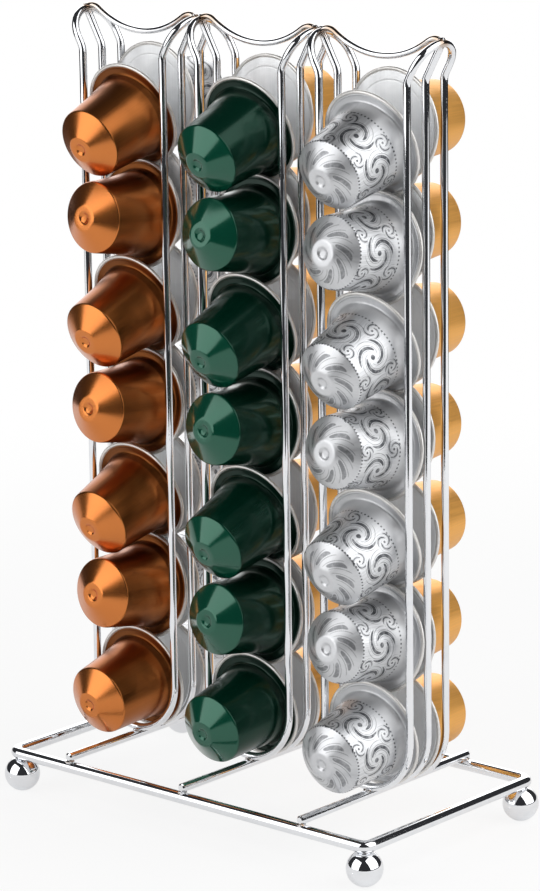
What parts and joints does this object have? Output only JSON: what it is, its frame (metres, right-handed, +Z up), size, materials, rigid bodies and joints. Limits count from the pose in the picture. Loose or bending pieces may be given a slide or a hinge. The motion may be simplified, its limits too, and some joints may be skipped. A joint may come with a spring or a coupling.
{
  "type": "coffee capsule holder",
  "caption": "Free-standing rack of bent chrome wire on ball feet. Upright wire tracks hold coffee capsules by their rims, noses outwards, dropped in and lifted out at the open top.",
  "frame": {"origin": "on the surface that the rack stands on, in the middle of the base", "axes": "+Z up, -Y towards the front tracks, +X along the row of columns to the right as seen from the front"},
  "size_m": [0.163, 0.093, 0.2648],
  "materials": {
    "chrome_wire": "bright plated wire",
    "chrome_ball": "polished and plated",
    "capsule_copper": "anodised, satin",
    "capsule_green": "anodised, satin",
    "capsule_silver": "bare with dark ornament",
    "capsule_gold": "anodised, satin",
    "lid_foil": "embossed foil"
  },
  "bodies": {
    "rack": {"base_frame": "chrome_wire", "cross_rod_left": "chrome_wire", "track_hoop_left": "chrome_wire", "centre_wire_left": "chrome_wire", "top_scallop_left": "chrome_wire", "cross_rod_middle": "chrome_wire", "track_hoop_middle": "chrome_wire", "centre_wire_middle": "chrome_wire", "top_scallop_middle": "chrome_wire", "cross_rod_right": "chrome_wire", "track_hoop_right": "chrome_wire", "centre_wire_right": "chrome_wire", "top_scallop_right": "chrome_wire", "foot_front_left": "chrome_ball", "foot_front_right": "chrome_ball", "foot_back_left": "chrome_ball", "foot_back_right": "chrome_ball"},
    "stack_front_left": {"capsule_cups_front_left": "capsule_copper", "capsule_lids_front_left": "lid_foil"},
    "stack_front_middle": {"capsule_cups_front_middle": "capsule_green", "capsule_lids_front_middle": "lid_foil"},
    "stack_front_right": {"capsule_cups_front_right": "capsule_silver", "capsule_lids_front_right": "lid_foil"},
    "stack_back_left": {"capsule_cups_back_left": "capsule_silver", "capsule_lids_back_left": "lid_foil"},
    "stack_back_middle": {"capsule_cups_back_middle": "capsule_gold", "capsule_lids_back_middle": "lid_foil"},
    "stack_back_right": {"capsule_cups_back_right": "capsule_gold", "capsule_lids_back_right": "lid_foil"}
  },
  "joints": [
    {"name": "lift_front_left", "type": "slide", "parent": "rack", "child": "stack_front_left", "axis": [0, 0, 1], "range_m": [0, 0.032]},
    {"name": "lift_front_middle", "type": "slide", "parent": "rack", "child": "stack_front_middle", "axis": [0, 0, 1], "range_m": [0, 0.032]},
    {"name": "lift_front_right", "type": "slide", "parent": "rack", "child": "stack_front_right", "axis": [0, 0, 1], "range_m": [0, 0.032]},
    {"name": "lift_back_left", "type": "slide", "parent": "rack", "child": "stack_back_left", "axis": [0, 0, 1], "range_m": [0, 0.032]},
    {"name": "lift_back_middle", "type": "slide", "parent": "rack", "child": "stack_back_middle", "axis": [0, 0, 1], "range_m": [0, 0.032]},
    {"name": "lift_back_right", "type": "slide", "parent": "rack", "child": "stack_back_right", "axis": [0, 0, 1], "range_m": [0, 0.032]}
  ]
}
